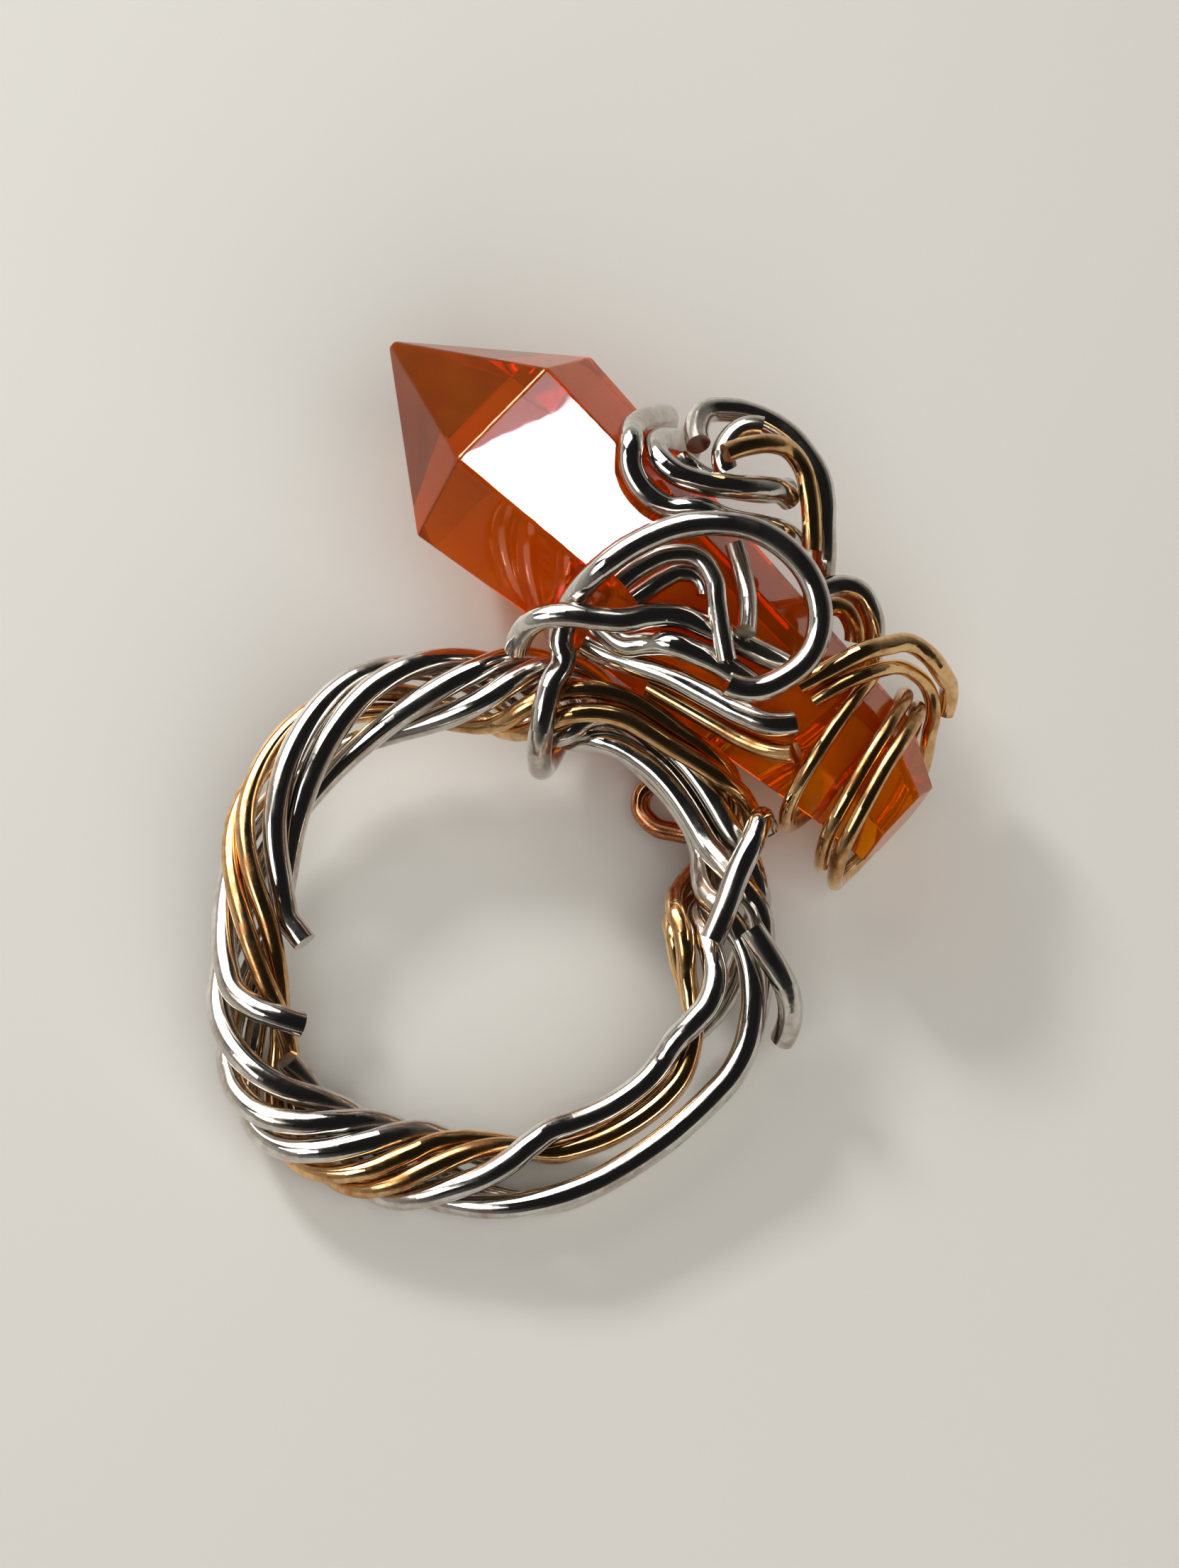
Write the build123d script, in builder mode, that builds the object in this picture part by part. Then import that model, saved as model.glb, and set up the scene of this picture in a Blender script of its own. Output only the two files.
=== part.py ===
from build123d import *
from collections import namedtuple
from math import asin, cos, degrees, pi, radians, sin, sqrt, tan
import os

# A wire-wrapped finger ring, lying on its side. All sizes are in millimetres.
# Ring frame: x runs along the crystal from its point to its butt, y from the finger out to the head,
# z along the finger. The centre of the finger hole is the ring frame's origin.

# Wire gauges and the clear space kept between neighbours
silver_wire = 1.02
gold_wire = 0.81
coil_wire = 0.64
wire_gap = 0.07

# Finger loop
finger_bore = 17.2
rope_half = 1.35

# Crystal: a tapered six-sided prism with a long point and a low butt
crystal_length = 29.0
point_length = 6.4
butt_length = 2.6
girdle_radius = 5.25
butt_radius = 2.9
point_flat = 0.22
butt_flat = 2.1
butt_set = 0.7
crystal_stand = 14.95
crystal_lean = 1.3
point_reach = 19.7

loop_radius = finger_bore / 2 + rope_half

# How the ring lies: the finger axis leans toward the front, the crystal's point turns to the back left,
# and the ring frame's origin stands over the floor
finger_lean = 7.55
finger_heading = -5.19
crystal_turn = -38.87
finger_stand = (-3.407, -6.303, 3.236)

# Rope stations round the finger. angle: degrees from the crystal's direction; reach: centre line in
# loop radii; slack: lay radius against the tightest lay; gather: 1 where the silver goes in close
# pairs, 0 where it is evenly spaced, -1 where it parts into an outer and an inner pair; turn: how far
# the silver has wound, in turns; fan: 0 in the rope, 1 where the silver makes a square; lift: -1 where
# the gold goes down the middle, 0 where it lies among the silver, 1 where it rides over it; gold_turn:
# where the gold pair lies, in turns, 0 outside the loop, 0.25 on top and 0.5 at the finger.
Station = namedtuple("Station", "angle reach slack gather turn fan lift gold_turn")
STATIONS = [
    Station(0, 0.985, 1.66, -0.92, -0.50, 0.94, -0.84, -0.50),
    Station(7, 0.98, 1.88, -0.70, -0.50, 0.72, -1.00, -0.50),
    Station(14, 0.975, 1.88, -0.42, -0.50, 0.45, -0.82, -0.50),
    Station(21, 0.97, 1.62, -0.18, -0.49, 0.20, -0.20, -0.50),
    Station(29, 0.96, 1.38, 0.0, -0.46, 0.05, 0.50, -0.53),
    Station(36, 0.955, 1.25, 0.0, -0.41, 0.15, 0.97, -0.56),
    Station(44, 0.95, 1.18, 0.0, -0.32, 0.35, 1.1, -0.53),
    Station(51, 0.957, 1.10, 0.0, -0.20, 0.6, 1.1, -0.44),
    Station(57, 0.965, 1.05, 0.0, -0.11, 0.8, 1.1, -0.32),
    Station(63, 0.965, 1.00, 0.0, -0.03, 0.95, 1.05, -0.17),
    Station(70, 0.965, 1.00, 0.0, 0.00, 1.0, 1.0, -0.03),
    Station(77, 0.965, 1.00, 0.0, 0.00, 1.0, 1.0, 0.09),
    Station(88, 0.965, 1.00, 0.0, 0.00, 1.0, 1.0, 0.17),
    Station(104, 0.97, 1.03, 0.0, 0.08, 0.8, 1.1, 0.22),
    Station(118, 0.98, 1.13, 0.0, 0.32, 0.1, 0.35, 0.32),
    Station(136, 0.985, 1.15, 0.8, 0.57, 0.0, 0.0, 0.57),
    Station(165, 1.065, 1.20, 1.0, 0.85, 0.0, 0.0, 0.85),
    Station(195, 1.04, 1.15, 1.0, 1.06, 0.0, 0.0, 1.06),
    Station(220, 0.98, 1.10, 0.8, 1.26, 0.0, 0.0, 1.26),
    Station(244, 1.06, 1.12, 0.8, 1.50, 0.0, 0.0, 1.50),
    Station(262, 1.12, 1.10, 0.8, 1.74, 0.0, 0.0, 1.74),
    Station(281, 1.06, 1.08, 0.6, 2.04, 0.0, 0.0, 2.04),
    Station(298, 1.0, 1.06, 0.0, 2.31, 0.0, 0.0, 2.31),
    Station(307, 0.99, 1.25, -0.06, 2.41, 0.04, -0.10, 2.41),
    Station(316, 0.985, 1.62, -0.25, 2.47, 0.25, -0.50, 2.47),
    Station(325, 0.98, 1.90, -0.55, 2.50, 0.60, -1.02, 2.50),
    Station(334, 0.98, 1.80, -0.80, 2.50, 0.84, -0.94, 2.50),
    Station(343, 0.98, 1.66, -0.92, 2.50, 0.94, -0.84, 2.50),
]
TURNS_PER_LAP = 3


def station(angle):
    """The rope's values at any angle, eased smoothly between the rows of the table."""
    lap, place = divmod(angle, 360)
    count = len(STATIONS)
    low = max(i for i, row in enumerate(STATIONS) if row.angle <= place)

    def row(index):
        laps, spot = divmod(index, count)
        base = STATIONS[spot]
        wound = TURNS_PER_LAP * laps
        return base._replace(
            angle=base.angle + 360 * laps, turn=base.turn + wound, gold_turn=base.gold_turn + wound
        )

    before, here, there, after = (row(low + step) for step in (-1, 0, 1, 2))
    span = there.angle - here.angle
    share = (place - here.angle) / span
    values = []
    for column in Station._fields:
        p0, p1, p2, p3 = (getattr(r, column) for r in (before, here, there, after))
        slope_here = (p2 - p0) / (there.angle - before.angle) * span
        slope_there = (p3 - p1) / (after.angle - here.angle) * span
        square, cube = share**2, share**3
        values.append(
            (2 * cube - 3 * square + 1) * p1
            + (cube - 2 * square + share) * slope_here
            + (3 * square - 2 * cube) * p2
            + (cube - square) * slope_there
        )
    result = Station(*values)
    wound = TURNS_PER_LAP * lap
    return result._replace(turn=result.turn + wound, gold_turn=result.gold_turn + wound)


# The silver's spacing round the rope follows each wire's own thickness
silver_spacing = 360 * silver_wire / (4 * silver_wire + 2 * gold_wire)


def winding(angle, column, inset):
    """How fast a column of turns winds, in radians per millimetre, an inset inside the rope's centre."""
    step = 1.5
    ahead, behind = station(angle + step), station(angle - step)
    turns = getattr(ahead, column) - getattr(behind, column)
    inner_side = station(angle).reach * loop_radius - inset
    return 2 * pi * turns / (radians(2 * step) * inner_side)


def tightest_lay(wire, spacing, wound):
    """Least lay radius at which wires of one thickness, a spacing apart in degrees, stay clear."""
    straight = (wire + wire_gap) / (2 * sin(radians(spacing / 2)))
    return straight / sqrt(1 - (straight * wound) ** 2)


def silver_lay(angle):
    """Spacing round the rope and lay radius of the silver wires at an angle round the finger."""
    here = station(angle)
    spacing = silver_spacing + (90 - silver_spacing) * here.fan
    wound = winding(angle, "turn", silver_wire)
    return spacing, here.slack * tightest_lay(silver_wire, spacing, wound)


def half_pair(wire, lay, wound):
    """Half the angle round the rope between two wires that run close together at a lay radius."""
    half_chord = (wire + wire_gap) / 2 * sqrt(1 + (lay * wound) ** 2)
    return degrees(asin(min(half_chord / lay, 1)))


def rope_point(angle, lay, phase):
    """A point at a lay radius and phase (degrees, 0 outside, 90 toward +z) about the rope's centre."""
    centre = station(angle).reach * loop_radius
    outward = centre + lay * cos(radians(phase))
    return outward * cos(radians(angle)), outward * sin(radians(angle)), lay * sin(radians(phase))


def silver_point(angle, number):
    """Silver wire 0 to 3 of the rope at an angle round the finger."""
    here = station(angle)
    spacing, lay = silver_lay(angle)
    close = half_pair(silver_wire, lay, winding(angle, "turn", lay))
    half = spacing / 2 + here.gather * (close - spacing / 2)
    pair, place = divmod(number, 2)
    return rope_point(
        angle, lay, 360 * here.turn + 180 + (2 * pair - 1) * spacing + (2 * place - 1) * half
    )


def gold_point(angle, number):
    """Gold wire 0 or 1 of the rope's gold pair at an angle round the finger."""
    here = station(angle)
    over = (silver_wire + gold_wire) / 2 + wire_gap
    lay = silver_lay(angle)[1] + here.lift * over
    half = half_pair(gold_wire, lay, winding(angle, "gold_turn", lay))
    return rope_point(angle, lay, 360 * here.gold_turn + (2 * number - 1) * half)


def crystal_radius(along):
    """Corner radius of the crystal at a share of its length from the point."""
    stop = along * crystal_length
    if stop < point_length:
        return point_flat + (girdle_radius - point_flat) * stop / point_length
    share = (stop - point_length) / (crystal_length - point_length - butt_length)
    return girdle_radius + (butt_radius - girdle_radius) * min(share, 1)


def axis_point(along):
    """A point of the crystal's axis at a share of its length from the point."""
    x = along * crystal_length - point_reach
    return x, crystal_stand - x * tan(radians(crystal_lean))


def over_crystal(along, around, rise):
    """A wire's centre: percent along the crystal, degrees round it, wires above its surface.

    Round the crystal, 0 faces away from the finger and 90 faces up.
    """
    x, middle = axis_point(along / 100)
    corner = crystal_radius(along / 100)
    surface = corner * cos(radians(30)) / cos(radians(around % 60 - 30))
    out = surface + rise * silver_wire
    return x, middle + out * cos(radians(around)), out * sin(radians(around))


def round_rope(angle, phase, rise):
    """A wire's centre: degrees round the finger, phase round the rope, wires above the rope."""
    return rope_point(angle, silver_lay(angle)[1] + (0.5 + rise) * silver_wire, phase)


# Bends of the wires on the head. along: percent of the crystal from its point; around: degrees round
# it, 0 away from the finger and 90 on top; rise: the wire's centre above the stone, in silver wires.
BIG_LOOP = [
    (48.8, 150, 1.90),
    (47.3, 141, 1.42),
    (47.0, 127, 1.42),
    (47.7, 111, 1.86),
    (49.3, 95, 2.25),
    (52.3, 80, 2.60),
    (55.6, 71, 2.80),
    (59.6, 64, 2.90),
    (65.1, 60, 2.90),
    (70.6, 60, 2.60),
    (74.6, 66, 2.35),
    (76.8, 79, 2.20),
    (76.3, 96, 2.20),
    (74.4, 107, 2.30),
    (71.2, 112, 2.50),
]
COLLAR = [
    (74.6, 85.5, 0.60),
    (72.0, 89, 0.60),
    (68.2, 94, 0.60),
    (63.6, 100, 0.62),
    (59.2, 107, 0.72),
    (56.4, 115, 1.05),
    (54.4, 122, 1.45),
    (51.7, 127, 1.95),
    (48.2, 132, 2.50),
    (45.5, 139, 2.80),
    (44.5, 149, 2.90),
    (45.0, 157, 3.00),
]
INNER_LOOP = [
    (50.6, 112, 1.28),
    (51.2, 101, 1.28),
    (53.2, 87, 1.40),
    (56.3, 80, 1.50),
    (59.5, 82, 1.57),
    (62.9, 91, 1.65),
    (66.0, 99, 1.72),
    (68.8, 106, 1.72),
]
LOWER_LOOP = [
    (53.2, 115, 0.60),
    (53.6, 109, 0.62),
    (54.3, 98, 0.60),
    (55.4, 88, 0.60),
    (57.6, 83, 0.60),
    (60.2, 88, 0.60),
]
LOWER_STAY = [
    (50.2, 140, 0.62),
    (52.8, 139, 0.80),
    (55.6, 137, 0.95),
    (58.4, 128, 0.72),
    (61.2, 119, 0.72),
    (64.4, 115, 0.62),
    (68.2, 111, 0.60),
    (71.6, 109, 0.60),
    (74.4, 108, 0.60),
]
POST = [
    (58.1, 58, 0.80),
    (61.5, 65, 0.70),
    (65.0, 76, 1.00),
    (68.0, 90, 1.62),
]
SADDLE = [
    (51.0, 158, 0.72),
    (54.8, 153.5, 0.74),
    (58.2, 146.5, 0.75),
    (63.2, 137, 0.70),
    (69.3, 130, 0.70),
    (74.7, 124, 0.70),
    (78.4, 118, 0.68),
    (80.8, 109, 0.62),
]
GOLD_SADDLE = [
    (61.6, 156, 0.62),
    (66.3, 152, 0.60),
    (71.6, 147, 0.60),
    (76.5, 142, 0.60),
    (80.8, 133, 0.60),
    (83.6, 122, 0.65),
]
ROSETTE = [
    (44.8, 39, 2.00),
    (42.7, 32, 2.15),
    (41.7, 25, 2.55),
    (43.9, 18, 3.25),
    (48.6, 14, 3.95),
    (52.6, 13, 4.20),
    (56.5, 13, 4.15),
    (59.4, 13, 3.95),
    (62.0, 12, 3.45),
    (64.4, 10, 2.70),
    (66.9, 5, 1.85),
    (69.2, -5, 1.05),
    (70.8, -30, 0.62),
    (71.2, -60, 0.66),
    (71.0, -90, 0.60),
    (70.4, -120, 0.60),
    (69.4, -146, 0.70),
]
ROSETTE_INNER = [
    (49.8, 36, 2.02),
    (48.2, 35, 2.40),
    (47.5, 31, 2.90),
    (48.0, 28, 3.50),
    (49.6, 26, 3.90),
]
ROSETTE_GOLD = [
    (49.1, 45, 2.90),
    (50.5, 38, 3.50),
    (52.5, 31, 4.00),
    (54.8, 24, 4.10),
    (57.4, 21, 3.90),
    (60.3, 21, 3.40),
    (63.2, 21, 2.70),
    (65.8, 22, 1.95),
]
FAN_OUTER = [
    (44.0, -146, 0.70),
    (42.2, -120, 0.64),
    (40.0, -90, 0.60),
    (38.4, -60, 0.66),
    (37.2, -30, 0.60),
    (36.4, 0, 0.68),
    (35.9, 18, 0.65),
    (36.0, 38, 0.65),
    (36.8, 53, 0.66),
    (38.2, 61, 0.74),
    (40.6, 68, 0.65),
    (43.8, 71, 0.60),
    (47.6, 69, 0.60),
    (51.4, 60, 0.72),
    (55.3, 44, 0.90),
    (58.9, 30, 1.35),
    (61.2, 18, 1.55),
    (62.9, 9, 1.42),
]
FAN_MIDDLE = [
    (49.0, -140, 0.62),
    (47.4, -120, 0.66),
    (45.0, -90, 0.60),
    (43.4, -60, 0.66),
    (42.2, -30, 0.60),
    (41.4, 0, 0.72),
    (40.4, 20, 0.75),
    (39.9, 37, 0.80),
    (40.6, 49, 0.80),
    (42.4, 55, 0.84),
    (45.2, 56, 0.98),
    (48.9, 51, 1.38),
    (53.0, 42, 2.10),
    (55.4, 32, 2.50),
    (57.0, 24, 2.66),
    (58.5, 18, 2.60),
]
FAN_INNER = [
    (43.8, 36, 0.85),
    (46.2, 36, 0.90),
    (48.9, 30, 1.05),
    (52.0, 22, 1.45),
    (54.9, 14, 2.00),
    (56.8, 6, 2.60),
]
SIDE_LOOP = [
    (70.6, 28, 0.80),
    (71.2, 18, 1.45),
    (73.9, 12, 2.00),
    (77.4, 6, 1.70),
    (80.2, -4, 1.00),
    (81.6, -30, 0.62),
    (81.7, -60, 0.66),
    (81.0, -90, 0.60),
    (79.8, -120, 0.60),
]
SIDE_GOLD = [
    (72.9, 38, 1.10),
    (74.3, 30, 1.45),
    (76.7, 26, 1.30),
    (78.6, 24, 0.80),
]
GOLD_CURL = [
    (78.0, 88, 0.75),
    (79.8, 71, 1.20),
    (81.3, 58, 1.62),
    (83.0, 43, 2.15),
    (85.0, 29, 2.54),
    (87.8, 20, 2.56),
    (90.6, 10, 2.32),
    (92.2, -3, 2.14),
    (93.8, -18, 1.95),
]
CURL_RETURN = [
    (97.0, -63, 1.05),
    (95.8, -45, 1.05),
    (94.3, -26, 1.05),
    (92.6, -9, 1.28),
    (89.8, 4, 1.45),
    (87.2, 17, 1.55),
    (85.8, 31, 1.55),
    (84.6, 48, 1.40),
    (82.9, 66, 1.10),
    (80.9, 88, 0.60),
]
# Bends of wires that ride on the rope: degrees round the finger, phase round the rope, wires above it
TIE = [
    (114.0, -50, 0.78),
    (115.2, -98, 0.78),
    (116.4, -145, 0.80),
    (117.6, 168, 0.80),
    (118.6, 128, 0.86),
    (118.6, 95, 0.88),
    (117.4, 66, 1.02),
]
CURLED_END = [
    (39.4, 73, 0.68),
    (35.3, 60, 0.68),
    (31.7, 43, 0.68),
    (28.3, 22, 0.70),
    (24.6, 2, 0.72),
    (21.0, -18, 0.72),
]
CROSSING = [
    (61.4, 13, 0.66),
    (63.2, 26, 0.82),
    (63.2, 42, 1.12),
    (59.2, 62, 1.05),
    (52.0, 84, 0.70),
    (43.6, 98, 0.63),
    (36.0, 110, 0.63),
]
BACK_CURL = [
    (78.3, -74, 1.09),
    (84.4, -90, 1.30),
    (88.0, -105, 1.59),
    (85.7, -117, 1.94),
    (79.2, -120, 1.91),
    (72.5, -109, 1.44),
    (67.9, -89, 1.00),
]


def on_head(bends):
    return [over_crystal(*bend) for bend in bends]


def on_rope(bends):
    return [round_rope(*bend) for bend in bends]


# Cut ends that leave the rope for the finger hole: degrees round the finger, millimetres from its centre
# and above its middle plane
FIRST_CUT_END = [
    (219.5, 8.42, 0.30),
    (223.2, 8.02, 0.32),
    (226.5, 7.72, 0.35),
]
SECOND_CUT_END = [
    (242.0, 10.10, 1.45),
    (246.0, 9.40, 1.55),
    (250.0, 8.70, 1.35),
]

# Gold coil round the butt: turns counted from the crystal's outer side, percent of the crystal from its
# point, and millimetres clear of its corners. It hangs loose on the side that faces the finger.
COIL = [
    (0.00, 83.0, 0.12),
    (0.25, 85.3, 0.12),
    (0.50, 88.0, 0.45),
    (0.75, 88.6, 0.20),
    (1.00, 88.3, 0.12),
    (1.25, 91.6, 0.12),
    (1.50, 95.5, 0.80),
    (1.75, 94.0, 0.40),
    (2.00, 91.0, 0.12),
    (2.25, 94.2, 0.12),
    (2.50, 98.5, 0.95),
    (2.75, 98.0, 0.60),
]
coil_steps = 3


def polar(angle, out, side):
    return out * cos(radians(angle)), out * sin(radians(angle)), side


def coil_points():
    """The coil's centre line: a few points for each quarter turn, eased between the rows of its table."""
    points = []
    for (turn, along, gap), (_, next_along, next_gap) in zip(COIL, COIL[1:]):
        for step in range(coil_steps):
            share = step / coil_steps
            ease = share * share * (3 - 2 * share)
            angle = 2 * pi * (turn + share / 4)
            x, middle = axis_point((along + (next_along - along) * share) / 100)
            corner = crystal_radius((along + (next_along - along) * share) / 100)
            out = corner + coil_wire / 2 + gap + (next_gap - gap) * ease
            points.append((x, middle + out * cos(angle), out * sin(angle)))
    return points


# Pieces: every point is placed with the ring lying on the floor
leaning = sin(radians(finger_lean))
rest_plane = Plane(
    origin=finger_stand,
    x_dir=(cos(radians(crystal_turn)), sin(radians(crystal_turn)), 0),
    z_dir=(
        leaning * sin(radians(finger_heading)),
        -leaning * cos(radians(finger_heading)),
        cos(radians(finger_lean)),
    ),
)


def placed(point):
    return rest_plane.from_local_coords(Vector(*point))


def headings(path):
    """The wire's direction at each of its points."""
    steps = [there - here for here, there in zip(path, path[1:])]
    inner = [
        (before.normalized() * after.length + after.normalized() * before.length).normalized()
        for before, after in zip(steps, steps[1:])
    ]
    first, last = steps[0].normalized(), steps[-1].normalized()
    start = first * (2 * inner[0].dot(first)) - inner[0]
    end = last * (2 * inner[-1].dot(last)) - inner[-1]
    return [start, *inner, end]


# A bend of fewer degrees than this is drawn straight, and a smaller spread of headings counts as none
straight_enough = 0.05
no_spread = 1e-6


def bend(start, end, heading):
    """An arc that leaves its start along a heading, or a line where they agree."""
    chord = end - start
    if heading.get_angle(chord) < straight_enough:
        Line(start, end)
    else:
        TangentArc(start, end, tangent=heading)


def lay_wire(points, wire):
    """Sweep a round wire through points, two arcs from each point to the next."""
    path = [placed(point) for point in points]
    ways = headings(path)
    with BuildLine() as route:
        for here, there, way, next_way in zip(path, path[1:], ways, ways[1:]):
            chord = there - here
            across = chord.dot(way + next_way)
            spread = 2 * (1 - way.dot(next_way))
            if spread < no_spread:
                reach = chord.dot(chord) / (4 * chord.dot(next_way))
            else:
                reach = (sqrt(across**2 + spread * chord.dot(chord)) - across) / spread
            knee = (here + there) * 0.5 + (way - next_way) * (reach / 2)
            bend(here, knee, way)
            bend(knee, there, chord - (way + next_way) * reach)
    with BuildSketch(Plane(origin=path[0], z_dir=ways[0])) as section:
        Circle(wire / 2)
    sweep(sections=section.sketch, path=route.line)


def run(first, last, step=6.0):
    """Angles round the finger from the first to the last, about a step apart."""
    count = round((last - first) / step)
    return [first + (last - first) * index / count for index in range(count + 1)]


os.makedirs("parts", exist_ok=True)

# Crystal: a ruled loft of four hexagons, with corners away from the finger and toward it
tip = placed(over_crystal(0, 0, 0)) * 0.5 + placed(over_crystal(0, 180, 0)) * 0.5
tail = placed(over_crystal(100, 0, 0)) * 0.5 + placed(over_crystal(100, 180, 0)) * 0.5
crystal_plane = Plane(origin=tip, x_dir=placed(over_crystal(0, 0, 0)) - tip, z_dir=tail - tip)
with BuildPart() as crystal:
    for stop, corner, setting in (
        (0, point_flat, 0),
        (point_length, girdle_radius, 0),
        (crystal_length - butt_length, butt_radius, 0),
        (crystal_length, butt_flat, butt_set),
    ):
        with BuildSketch(crystal_plane.offset(stop)):
            with Locations((-setting, 0)):
                RegularPolygon(corner, 6)
    loft(ruled=True)
crystal.part.label = "crystal"
export_step(crystal.part, "parts/crystal.step")

# Silver strands of the rope: where each starts and stops round the finger, and its cut end
SILVER_RUNS = [
    (233.0, 575.0, FIRST_CUT_END),
    (124.0, 482.5, []),
    (112.0, 470.5, []),
    (255.0, 596.0, SECOND_CUT_END),
]
for number, (first, last, cut_end) in enumerate(SILVER_RUNS):
    route = [silver_point(angle, number) for angle in run(first, last)]
    with BuildPart() as silver_strand:
        lay_wire(route + [polar(*row) for row in cut_end], silver_wire)
    silver_strand.part.label = f"silver_strand_{number + 1}"
    export_step(silver_strand.part, f"parts/silver_strand_{number + 1}.step")

# Gold strands: each closes on itself where it passes between the rope and the crystal
gold_first, gold_last = 63.5, 422.6
for number in range(2):
    with BuildPart() as gold_strand:
        lay_wire([gold_point(angle, number) for angle in run(gold_first, gold_last)], gold_wire)
    gold_strand.part.label = f"gold_strand_{number + 1}"
    export_step(gold_strand.part, f"parts/gold_strand_{number + 1}.step")

# Big loop: tied round the rope, then run over the head
with BuildPart() as big_loop:
    lay_wire(on_rope(TIE) + on_head(BIG_LOOP), silver_wire)
big_loop.part.label = "big_loop"
export_step(big_loop.part, "parts/big_loop.step")

# Wires on the head: piece name, bends and gauge
HEAD_WIRES = [
    ("collar_wire", COLLAR, silver_wire),
    ("inner_loop", INNER_LOOP, gold_wire),
    ("lower_loop", LOWER_LOOP, gold_wire),
    ("post_wire", POST, gold_wire),
    ("lower_stay", LOWER_STAY, silver_wire),
    ("saddle_wire", SADDLE, silver_wire),
    ("gold_saddle", GOLD_SADDLE, gold_wire),
    ("rosette_wire", ROSETTE, silver_wire),
    ("rosette_inner", ROSETTE_INNER, silver_wire),
    ("rosette_gold", ROSETTE_GOLD, gold_wire),
    ("fan_outer", FAN_OUTER, silver_wire),
    ("fan_middle", FAN_MIDDLE, silver_wire),
    ("fan_inner", FAN_INNER, silver_wire),
    ("side_loop", SIDE_LOOP, silver_wire),
    ("side_gold", SIDE_GOLD, gold_wire),
    ("gold_curl", GOLD_CURL, gold_wire),
]
for name, bends, gauge in HEAD_WIRES:
    with BuildPart() as head_wire:
        lay_wire(on_head(bends), gauge)
    head_wire.part.label = name
    export_step(head_wire.part, f"parts/{name}.step")

# Wires that ride on the rope: piece name, bends and gauge
ROPE_WIRES = [
    ("crossing_wire", CROSSING, silver_wire),
    ("curled_end", CURLED_END, silver_wire),
    ("back_curl", BACK_CURL, gold_wire),
]
for name, bends, gauge in ROPE_WIRES:
    with BuildPart() as rope_wire:
        lay_wire(on_rope(bends), gauge)
    rope_wire.part.label = name
    export_step(rope_wire.part, f"parts/{name}.step")

# Thin gold coil round the butt, whose end comes back beside the gold curl
with BuildPart() as gold_coil:
    lay_wire(coil_points() + on_head(CURL_RETURN), coil_wire)
gold_coil.part.label = "gold_coil"
export_step(gold_coil.part, "parts/gold_coil.step")
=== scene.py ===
"""Wire-wrapped crystal ring: finishes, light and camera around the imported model.

Run it as a script. The sidebar of the 3D view then has a Ring tab, with the sizes and colours
and one button for each group of pieces.
"""

from math import radians

import bmesh
import bpy
from bpy.props import FloatProperty, FloatVectorProperty, PointerProperty
from bpy.types import Operator, Panel, PropertyGroup
from mathutils import Euler, Matrix, Vector


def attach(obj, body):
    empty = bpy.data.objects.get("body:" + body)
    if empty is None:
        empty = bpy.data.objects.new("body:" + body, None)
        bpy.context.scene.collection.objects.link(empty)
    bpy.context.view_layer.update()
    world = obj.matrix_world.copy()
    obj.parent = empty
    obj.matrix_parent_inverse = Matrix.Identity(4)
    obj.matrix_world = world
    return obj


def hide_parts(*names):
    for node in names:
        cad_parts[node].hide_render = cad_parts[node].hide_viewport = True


bl_info = {
    "name": "Wire-wrapped crystal ring",
    "version": (1, 0, 0),
    "blender": (4, 5, 0),
    "location": "View3D > Sidebar > Ring",
    "description": "Finishes, light and camera for a finger ring wrapped in craft wire",
    "category": "Object",
}

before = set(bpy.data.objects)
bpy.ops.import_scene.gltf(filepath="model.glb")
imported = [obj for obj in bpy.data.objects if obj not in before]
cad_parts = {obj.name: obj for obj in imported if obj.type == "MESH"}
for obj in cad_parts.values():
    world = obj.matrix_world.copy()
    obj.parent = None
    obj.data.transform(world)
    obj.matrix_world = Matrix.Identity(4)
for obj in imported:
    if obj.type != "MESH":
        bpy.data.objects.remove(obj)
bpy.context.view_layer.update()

MM = 0.001


def linear(hex_colour):
    """An sRGB hex colour as the linear values that Blender works in."""
    values = [int(hex_colour[i:i + 2], 16) / 255 for i in (1, 3, 5)]
    return tuple(v / 12.92 if v <= 0.04045 else ((v + 0.055) / 1.055) ** 2.4 for v in values)


def per_metre(feature_mm):
    """The scale that gives a texture features of this size, on coordinates in metres."""
    return 1 / (feature_mm * MM)


# Wires by finish
SILVER_WIRES = [
    "silver_strand_1", "silver_strand_2", "silver_strand_3", "silver_strand_4",
    "big_loop", "collar_wire", "inner_loop", "lower_loop", "post_wire", "lower_stay",
    "saddle_wire", "rosette_wire", "rosette_inner", "fan_outer", "fan_middle", "fan_inner",
    "side_loop", "crossing_wire", "curled_end",
]
GOLD_WIRES = [
    "gold_strand_1", "gold_strand_2", "gold_saddle", "rosette_gold", "side_gold", "gold_curl",
    "gold_coil",
]
COPPER_WIRES = ["back_curl"]

# Share of the tarnish colour where the tarnish is thickest: the plate keeps some of its silver
SILVER_STAIN_SHARE = 0.7
BRASS_STAIN_SHARE = 1.0
COPPER_STAIN_SHARE = 1.0

# Floor: half its width in metres, and how far it lies under the ring, clear of its contacts
FLOOR_HALF_WIDTH = 1.5
FLOOR_DROP = 0.01 * MM

# Lights: width and height, then place, in metres
LIGHTS = {
    "window": ((0.60, 0.46), (-0.24, 0.30, 0.38)),
    "key": ((0.18, 0.18), (-0.54, 0.66, 0.56)),
    "ceiling": ((1.2, 1.2), (0.28, -0.52, 0.70)),
    "left_light": ((0.30, 0.20), (-0.36, -0.17, 0.32)),
    "lamp": ((0.028, 0.020), (0.0373, 0.0144, 0.35)),
    "shade": ((0.036, 0.012), (0.0281, 0.0276, 0.35)),
}
CEILING_COLOUR = linear("#FFFCF9")
# The left light's power as a share of the window's, and the shade's as a share of the lamp's
LEFT_LIGHT_SHARE = 0.2
SHADE_SHARE = 0.10
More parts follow.
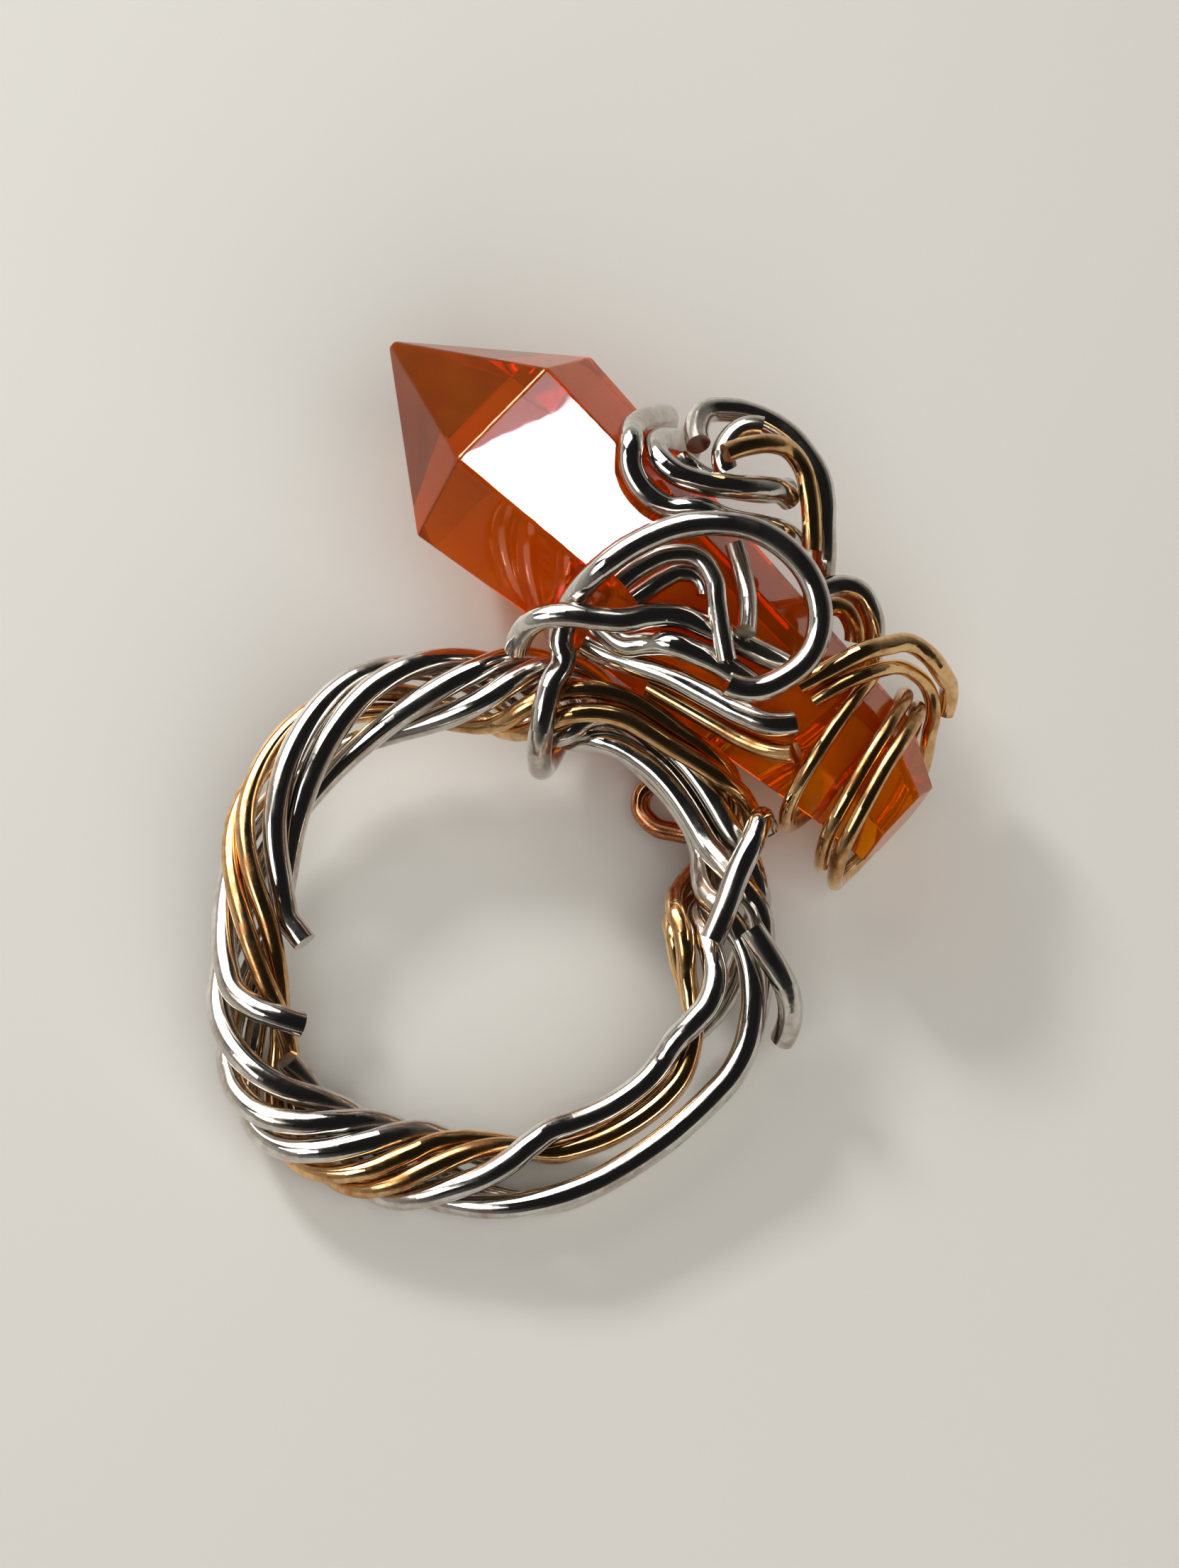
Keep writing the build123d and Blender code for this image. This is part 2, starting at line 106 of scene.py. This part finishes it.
# The lamp and its shade are blue, which the tinted facets of the crystal turn white
LAMP_COLOUR = linear("#6F9BFF")
# Their turn about the vertical, which sets the edges of their reflection along the facet
LAMP_TURN = radians(27.5)

# Camera: lens and sensor in mm, roll, the middle of the finger hole, and how far right of it
# and above it in the picture the camera looks
CAMERA_LENS = 128.8
CAMERA_SENSOR = 36
CAMERA_ROLL = radians(3.277)
HOLE_CENTRE = Vector((-3.407, -6.303, 3.236)) * MM
LOOK_RIGHT = 3.757 * MM
LOOK_ABOVE = 5.829 * MM


# Sizes and colours that a user may change

class RingWireSettings(PropertyGroup):
    silver: FloatVectorProperty(
        name="Silver plate", description="Colour of the silver-plated wires",
        subtype="COLOR", size=3, min=0, max=1, default=linear("#DEDAD3"))
    silver_stain: FloatVectorProperty(
        name="Silver tarnish", description="Colour that the plate turns to where it is handled",
        subtype="COLOR", size=3, min=0, max=1, default=linear("#8F765E"))
    gold: FloatVectorProperty(
        name="Gold-coloured brass", description="Colour of the brass wires",
        subtype="COLOR", size=3, min=0, max=1, default=linear("#EBC28C"))
    gold_stain: FloatVectorProperty(
        name="Brass tarnish", description="Colour of the brass where it has browned",
        subtype="COLOR", size=3, min=0, max=1, default=linear("#A0622F"))
    copper: FloatVectorProperty(
        name="Bare copper", description="Colour of the copper wire behind the head",
        subtype="COLOR", size=3, min=0, max=1, default=linear("#D08F66"))
    copper_stain: FloatVectorProperty(
        name="Copper tarnish", description="Colour of the copper where it has dulled",
        subtype="COLOR", size=3, min=0, max=1, default=linear("#7E4528"))
    polish: FloatProperty(
        name="Roughness", description="Roughness of the drawn surface where it is brightest",
        subtype="FACTOR", min=0, max=1, default=0.09)
    dent_depth: FloatProperty(
        name="Dent depth", description="Depth of the shallow dents left by bending",
        subtype="DISTANCE", unit="LENGTH", min=0, max=0.0001, default=0.012 * MM)


class RingCrystalSettings(PropertyGroup):
    passed: FloatVectorProperty(
        name="Light let through", description="Colour of the light that the glass lets through",
        subtype="COLOR", size=3, min=0, max=1, default=linear("#F9E700"))
    sheen: FloatVectorProperty(
        name="Surface reflection", description="Tint of what the facets mirror",
        subtype="COLOR", size=3, min=0, max=1, default=linear("#BC8150"))
    cloud: FloatVectorProperty(
        name="Cloud", description="Colour of the light that the cloudy glass scatters back",
        subtype="COLOR", size=3, min=0, max=1, default=linear("#F9810D"))
    cloud_share: FloatProperty(
        name="Cloudiness", description="Share of the light that the glass scatters back",
        subtype="FACTOR", min=0, max=1, default=0.15)
    density: FloatProperty(
        name="Depth of colour", description="How fast the glass darkens with thickness, per metre",
        min=0, max=4000, default=1700)
    ior: FloatProperty(
        name="Refraction", description="Refractive index of the crystal",
        min=1, max=2.5, default=1.55)
    edge_wear: FloatProperty(
        name="Edge wear", description="Width of the rubbed edges between facets",
        subtype="DISTANCE", unit="LENGTH", min=0, max=0.001, default=0.09 * MM)


class RingStageSettings(PropertyGroup):
    floor: FloatVectorProperty(
        name="Floor", description="Colour of the floor under the ring",
        subtype="COLOR", size=3, min=0, max=1, default=linear("#CBC9C2"))
    window_power: FloatProperty(
        name="Window", description="Power of the large soft light that the wires mirror",
        subtype="POWER", unit="POWER", min=0, max=50, default=3.6)
    key_power: FloatProperty(
        name="Key", description="Power of the small light at the upper left that casts the shadows",
        subtype="POWER", unit="POWER", min=0, max=50, default=5.6)
    ceiling_power: FloatProperty(
        name="Ceiling", description="Power of the wide light that fills the shadows",
        subtype="POWER", unit="POWER", min=0, max=50, default=11.6)
    lamp_power: FloatProperty(
        name="Lamp", description="Power of the small lamp overhead that the crystal mirrors",
        subtype="POWER", unit="POWER", min=0, max=50, default=0.8)
    camera_distance: FloatProperty(
        name="Camera distance", description="From the camera to the middle of the finger hole",
        subtype="DISTANCE", unit="LENGTH", min=0.05, max=1, default=0.170)
    camera_tilt: FloatProperty(
        name="Camera tilt", description="How far the view leans from straight down",
        subtype="ANGLE", unit="ROTATION", min=0, max=radians(90), default=radians(19.50))


# Materials

def add_node(tree, kind, values=None, links=None, **settings):
    """Add a node, set its options and input values, and link its inputs to other sockets."""
    node = tree.nodes.new(kind)
    for name, value in settings.items():
        setattr(node, name, value)
    for socket, value in (values or {}).items():
        node.inputs[socket].default_value = value
    for socket, source in (links or {}).items():
        tree.links.new(source, node.inputs[socket])
    return node


def new_material(name):
    """An empty node material with its output, and the object coordinates for its patterns."""
    material = bpy.data.materials.new(name)
    material.use_nodes = True
    tree = material.node_tree
    tree.nodes.clear()
    output = add_node(tree, "ShaderNodeOutputMaterial")
    place = add_node(tree, "ShaderNodeTexCoord").outputs["Object"]
    return material, tree, output, place


def drawn_wire(name, colour, stain, stain_share, settings):
    """Bright drawn wire, bent by hand: it mirrors the light in long streaks, which shallow
    dents and a film of tarnish break up."""
    mottle_share = 0.45
    tarnish_roughness = 0.25
    nick_share = 0.16
    material, tree, output, place = new_material(name)
    # Tarnish lies in patches about 3 mm across, with a finer mottle of about 0.4 mm
    patches = add_node(tree, "ShaderNodeTexNoise",
                       {"Scale": per_metre(3.0), "Detail": 4, "Roughness": 0.65}, {"Vector": place})
    mottle = add_node(tree, "ShaderNodeTexNoise",
                      {"Scale": per_metre(0.4), "Detail": 3, "Roughness": 0.6}, {"Vector": place})
    both = add_node(tree, "ShaderNodeMath", {1: mottle_share}, {0: mottle.outputs["Fac"]},
                    operation="MULTIPLY")
    both = add_node(tree, "ShaderNodeMath", links={0: patches.outputs["Fac"], 1: both.outputs[0]},
                    operation="ADD")
    film = add_node(tree, "ShaderNodeMapRange",
                    {"From Min": 0.62, "From Max": 0.95, "To Min": 0.0, "To Max": stain_share},
                    {"Value": both.outputs[0]})
    tone = add_node(tree, "ShaderNodeMix", {"A": (*colour, 1), "B": (*stain, 1)},
                    {"Factor": film.outputs[0]}, data_type="RGBA")
    gloss = add_node(tree, "ShaderNodeMapRange",
                     {"From Min": 0.0, "From Max": 1.0, "To Min": settings.polish,
                      "To Max": settings.polish + tarnish_roughness},
                     {"Value": film.outputs[0]})
    # Dents from fingers and pliers are about 1.4 mm long, nicks about 0.2 mm
    dents = add_node(tree, "ShaderNodeTexNoise",
                     {"Scale": per_metre(1.4), "Detail": 1.5, "Roughness": 0.5},
                     {"Vector": place})
    nicks = add_node(tree, "ShaderNodeTexNoise",
                     {"Scale": per_metre(0.22), "Detail": 2, "Roughness": 0.6},
                     {"Vector": place})
    coarse = add_node(tree, "ShaderNodeBump", {"Strength": 1.0, "Distance": settings.dent_depth},
                      {"Height": dents.outputs["Fac"]})
    fine = add_node(tree, "ShaderNodeBump",
                    {"Strength": 1.0, "Distance": settings.dent_depth * nick_share},
                    {"Height": nicks.outputs["Fac"], "Normal": coarse.outputs["Normal"]})
    surface = add_node(tree, "ShaderNodeBsdfPrincipled", {"Metallic": 1.0},
                       {"Base Color": tone.outputs["Result"], "Roughness": gloss.outputs[0],
                        "Normal": fine.outputs["Normal"]})
    tree.links.new(surface.outputs["BSDF"], output.inputs["Surface"])
    return material


def amber_glass(settings):
    """Orange-brown glass cut to facets and worn by handling: it bends the floor's light into
    bright and dark fields, glows orange where it is thin and goes to red-brown where it is deep."""
    swell_depth = 0.02 * MM
    thin_cloud, thick_cloud = settings.cloud_share * 0.6, settings.cloud_share * 1.4
    material, tree, output, place = new_material("worn amber glass")
    # Handling leaves a haze in patches about 2.5 mm across
    haze = add_node(tree, "ShaderNodeTexNoise",
                    {"Scale": per_metre(2.5), "Detail": 5, "Roughness": 0.7}, {"Vector": place})
    rough = add_node(tree, "ShaderNodeMapRange",
                     {"From Min": 0.45, "From Max": 0.8, "To Min": 0.01, "To Max": 0.05},
                     {"Value": haze.outputs["Fac"]})
    # Facets that were ground by hand swell a little, over about 5 mm
    swell = add_node(tree, "ShaderNodeTexNoise",
                     {"Scale": per_metre(5.0), "Detail": 1, "Roughness": 0.4}, {"Vector": place})
    uneven = add_node(tree, "ShaderNodeBump", {"Strength": 1.0, "Distance": swell_depth},
                      {"Height": swell.outputs["Fac"]})
    surface = add_node(tree, "ShaderNodeBsdfPrincipled",
                       {"Base Color": (1, 1, 1, 1), "Transmission Weight": 1.0,
                        "IOR": settings.ior, "Specular Tint": (*settings.sheen, 1)},
                       {"Roughness": rough.outputs[0], "Normal": uneven.outputs["Normal"]})
    # Fine bubbles and cracks scatter a share of the light, more in clouds about 4 mm across
    clouds = add_node(tree, "ShaderNodeTexNoise",
                      {"Scale": per_metre(4.0), "Detail": 4, "Roughness": 0.6}, {"Vector": place})
    share = add_node(tree, "ShaderNodeMapRange",
                     {"From Min": 0.3, "From Max": 0.7, "To Min": thin_cloud,
                      "To Max": thick_cloud}, {"Value": clouds.outputs["Fac"]})
    glow = add_node(tree, "ShaderNodeBsdfDiffuse", {"Color": (*settings.cloud, 1)})
    body = add_node(tree, "ShaderNodeMixShader",
                    links={0: share.outputs[0], 1: surface.outputs["BSDF"], 2: glow.outputs[0]})
    # Some of the light that falls through the glass reaches the floor
    passing = add_node(tree, "ShaderNodeBsdfTransparent", {"Color": (*linear("#A0A0A0"), 1)})
    ray = add_node(tree, "ShaderNodeLightPath")
    shared = add_node(tree, "ShaderNodeMixShader",
                      links={0: ray.outputs["Is Shadow Ray"], 1: body.outputs[0],
                             2: passing.outputs[0]})
    depth = add_node(tree, "ShaderNodeVolumeAbsorption",
                     {"Color": (*settings.passed, 1), "Density": settings.density})
    tree.links.new(shared.outputs[0], output.inputs["Surface"])
    tree.links.new(depth.outputs["Volume"], output.inputs["Volume"])
    return material


def painted_board(colour):
    """Smooth painted board: pale, even and faintly glossy, so it shows soft shadows only."""
    darkest = 0.97
    material, tree, output, place = new_material("smooth painted board")
    # The paint drifts in tone over about 60 mm
    drift = add_node(tree, "ShaderNodeTexNoise",
                     {"Scale": per_metre(60), "Detail": 2, "Roughness": 0.5}, {"Vector": place})
    amount = add_node(tree, "ShaderNodeMapRange",
                      {"From Min": 0.3, "From Max": 0.7, "To Min": 0.0, "To Max": 1.0},
                      {"Value": drift.outputs["Fac"]})
    tone = add_node(tree, "ShaderNodeMix",
                    {"A": (*[value * darkest for value in colour], 1), "B": (*colour, 1)},
                    {"Factor": amount.outputs[0]}, data_type="RGBA")
    surface = add_node(tree, "ShaderNodeBsdfPrincipled", {"Roughness": 0.45},
                       {"Base Color": tone.outputs["Result"]})
    tree.links.new(surface.outputs["BSDF"], output.inputs["Surface"])
    return material


# Pieces

def dress(names, material):
    """Give CAD wires their finish."""
    for name in names:
        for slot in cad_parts[name].material_slots:
            slot.material = material


def add_object(name, shape, material):
    """Turn a finished bmesh into an object with flat faces."""
    mesh = bpy.data.meshes.new(name)
    shape.to_mesh(mesh)
    shape.free()
    for face in mesh.polygons:
        face.use_smooth = False
    mesh.materials.append(material)
    item = bpy.data.objects.new(name, mesh)
    bpy.context.scene.collection.objects.link(item)
    return item


class RING_OT_silver_wires(Operator):
    """Finish the silver-plated wires"""
    bl_idname = "ring.silver_wires"
    bl_label = "Silver wires"

    def execute(self, context):
        wire = context.scene.ring_wire
        dress(SILVER_WIRES, drawn_wire("silver-plated copper wire", wire.silver,
                                       wire.silver_stain, SILVER_STAIN_SHARE, wire))
        return {"FINISHED"}


class RING_OT_gold_wires(Operator):
    """Finish the brass wires and the copper one"""
    bl_idname = "ring.gold_wires"
    bl_label = "Gold and copper wires"

    def execute(self, context):
        wire = context.scene.ring_wire
        dress(GOLD_WIRES, drawn_wire("gold-coloured brass wire", wire.gold,
                                     wire.gold_stain, BRASS_STAIN_SHARE, wire))
        dress(COPPER_WIRES, drawn_wire("bare copper wire", wire.copper,
                                       wire.copper_stain, COPPER_STAIN_SHARE, wire))
        return {"FINISHED"}


class RING_OT_crystal(Operator):
    """Build the crystal with its rubbed edges"""
    bl_idname = "ring.crystal"
    bl_label = "Crystal"

    def execute(self, context):
        settings = context.scene.ring_crystal
        most_facets = 40
        shape = bmesh.new()
        shape.from_mesh(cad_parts["crystal"].data)
        bmesh.ops.remove_doubles(shape, verts=shape.verts, dist=0.0005 * MM)
        bmesh.ops.dissolve_limit(shape, angle_limit=radians(1), verts=shape.verts,
                                 edges=shape.edges, use_dissolve_boundaries=False)
        if len(shape.faces) > most_facets:
            raise RuntimeError(f"the crystal's facets didn't merge: {len(shape.faces)} faces")
        bmesh.ops.bevel(shape, geom=shape.edges[:], offset=settings.edge_wear,
                        offset_type="OFFSET", affect="EDGES", segments=2, profile=0.5,
                        material=-1, clamp_overlap=True)
        piece = add_object("worn_crystal", shape, amber_glass(settings))
        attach(piece, "root")
        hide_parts("crystal")
        return {"FINISHED"}


# Stage

def lay_floor(colour):
    """One flat sheet just under the ring."""
    shape = bmesh.new()
    bmesh.ops.create_grid(shape, x_segments=1, y_segments=1, size=FLOOR_HALF_WIDTH)
    bmesh.ops.translate(shape, verts=shape.verts, vec=(0, 0, -FLOOR_DROP))
    floor = add_object("floor", shape, painted_board(colour))


def hang_light(scene, name, power, turn=None):
    """A soft rectangular light that faces the ring, or faces down with a turn."""
    size, place = LIGHTS[name]
    light = bpy.data.lights.new(name, "AREA")
    light.shape = "RECTANGLE"
    light.size, light.size_y = size
    light.energy = power
    holder = bpy.data.objects.new(name, light)
    holder.location = place
    if turn is None:
        holder.rotation_euler = (-Vector(place)).to_track_quat("-Z", "Y").to_euler()
    else:
        holder.rotation_euler = (0, 0, turn)
    scene.collection.objects.link(holder)
    return holder


def hang_lights(scene, settings):
    """Hang every light: the key and the ceiling light the floor, the others are only mirrored."""
    window = hang_light(scene, "window", settings.window_power)
    hang_light(scene, "key", settings.key_power)
    ceiling = hang_light(scene, "ceiling", settings.ceiling_power)
    ceiling.visible_glossy = False
    ceiling.data.color = CEILING_COLOUR
    left = hang_light(scene, "left_light", settings.window_power * LEFT_LIGHT_SHARE)
    window.visible_diffuse = left.visible_diffuse = False
    # The crystal alone mirrors the lamp, as a white field on its front facet, and the lamp's
    # shade, as a veil beside it
    receivers = bpy.data.collections.new("lamp_receivers")
    receivers.objects.link(bpy.data.objects["worn_crystal"])
    for name, share in (("lamp", 1.0), ("shade", SHADE_SHARE)):
        lamp = hang_light(scene, name, settings.lamp_power * share, LAMP_TURN)
        lamp.data.color = LAMP_COLOUR
        lamp.visible_diffuse = False
        lamp.light_linking.receiver_collection = receivers


def paint_studio(scene):
    """A dark room whose wall behind the window is pale, so that the wires mirror a dark core
    beside a broad highlight."""
    toward_wall = (-0.72, 0.69, 0.0)
    beyond_brightness = 1.3
    world = bpy.data.worlds.new("studio")
    world.use_nodes = True
    tree = world.node_tree
    tree.nodes.clear()
    place = add_node(tree, "ShaderNodeTexCoord").outputs["Generated"]
    facing = add_node(tree, "ShaderNodeVectorMath", {1: toward_wall}, {0: place},
                      operation="DOT_PRODUCT")
    side = add_node(tree, "ShaderNodeMapRange",
                    {"From Min": -0.8, "From Max": 0.8, "To Min": 0.02, "To Max": 0.8},
                    {"Value": facing.outputs["Value"]})
    height = add_node(tree, "ShaderNodeSeparateXYZ", links={"Vector": place})
    low = add_node(tree, "ShaderNodeMapRange",
                   {"From Min": 0.20, "From Max": 0.55, "To Min": 1.0, "To Max": 0.0},
                   {"Value": height.outputs["Z"]})
    share = add_node(tree, "ShaderNodeMath", links={0: side.outputs[0], 1: low.outputs[0]},
                     operation="MULTIPLY")
    tone = add_node(tree, "ShaderNodeMix",
                    {"A": (*linear("#1D1D1D"), 1), "B": (*linear("#CECAC4"), 1)},
                    {"Factor": share.outputs[0]}, data_type="RGBA")
    # What the crystal bends into view from beyond the floor is paler
    beyond = [value * beyond_brightness for value in linear("#FFF2DE")]
    ray = add_node(tree, "ShaderNodeLightPath")
    seen = add_node(tree, "ShaderNodeMix", {"B": (*beyond, 1)},
                    {"Factor": ray.outputs["Is Transmission Ray"], "A": tone.outputs["Result"]},
                    data_type="RGBA")
    sky = add_node(tree, "ShaderNodeBackground", links={"Color": seen.outputs["Result"]})
    add_node(tree, "ShaderNodeOutputWorld", links={"Surface": sky.outputs[0]})
    scene.world = world
    scene.view_settings.view_transform = "Standard"


def set_camera(scene, settings):
    """A camera high above the front of the ring, rolled a little."""
    turn = Euler((settings.camera_tilt, 0, 0)).to_matrix() @ Matrix.Rotation(CAMERA_ROLL, 3, "Z")
    right, up, back = turn.col
    camera = bpy.data.cameras.new("camera")
    camera.sensor_fit = "HORIZONTAL"
    camera.sensor_width = CAMERA_SENSOR
    camera.lens = CAMERA_LENS
    camera.clip_start = 0.01
    view = bpy.data.objects.new("camera", camera)
    eye = HOLE_CENTRE + back * settings.camera_distance + right * LOOK_RIGHT + up * LOOK_ABOVE
    view.matrix_world = Matrix.Translation(eye) @ turn.to_4x4()
    scene.collection.objects.link(view)
    scene.camera = view


class RING_OT_stage(Operator):
    """Lay the floor, hang the lights and set the camera"""
    bl_idname = "ring.stage"
    bl_label = "Stage"

    def execute(self, context):
        settings = context.scene.ring_stage
        lay_floor(settings.floor)
        hang_lights(context.scene, settings)
        paint_studio(context.scene)
        set_camera(context.scene, settings)
        return {"FINISHED"}


class RING_PT_ring(Panel):
    """Sizes, colours and pieces of the ring"""
    bl_idname = "RING_PT_ring"
    bl_label = "Wire-wrapped ring"
    bl_space_type = "VIEW_3D"
    bl_region_type = "UI"
    bl_category = "Ring"

    def draw(self, context):
        for title, settings, operators in (
            ("Wires", context.scene.ring_wire, (RING_OT_silver_wires, RING_OT_gold_wires)),
            ("Crystal", context.scene.ring_crystal, (RING_OT_crystal,)),
            ("Stage", context.scene.ring_stage, (RING_OT_stage,)),
        ):
            box = self.layout.box()
            box.label(text=title)
            for name in settings.__annotations__:
                box.prop(settings, name)
            for operator in operators:
                box.operator(operator.bl_idname)


CLASSES = (
    RingWireSettings, RingCrystalSettings, RingStageSettings,
    RING_OT_silver_wires, RING_OT_gold_wires, RING_OT_crystal, RING_OT_stage,
    RING_PT_ring,
)


def register():
    for cls in CLASSES:
        bpy.utils.register_class(cls)
    bpy.types.Scene.ring_wire = PointerProperty(type=RingWireSettings)
    bpy.types.Scene.ring_crystal = PointerProperty(type=RingCrystalSettings)
    bpy.types.Scene.ring_stage = PointerProperty(type=RingStageSettings)


def unregister():
    del bpy.types.Scene.ring_stage
    del bpy.types.Scene.ring_crystal
    del bpy.types.Scene.ring_wire
    for cls in reversed(CLASSES):
        bpy.utils.unregister_class(cls)


def main():
    register()
    bpy.ops.ring.silver_wires()
    bpy.ops.ring.gold_wires()
    bpy.ops.ring.crystal()
    bpy.ops.ring.stage()


if __name__ == "__main__":
    main()
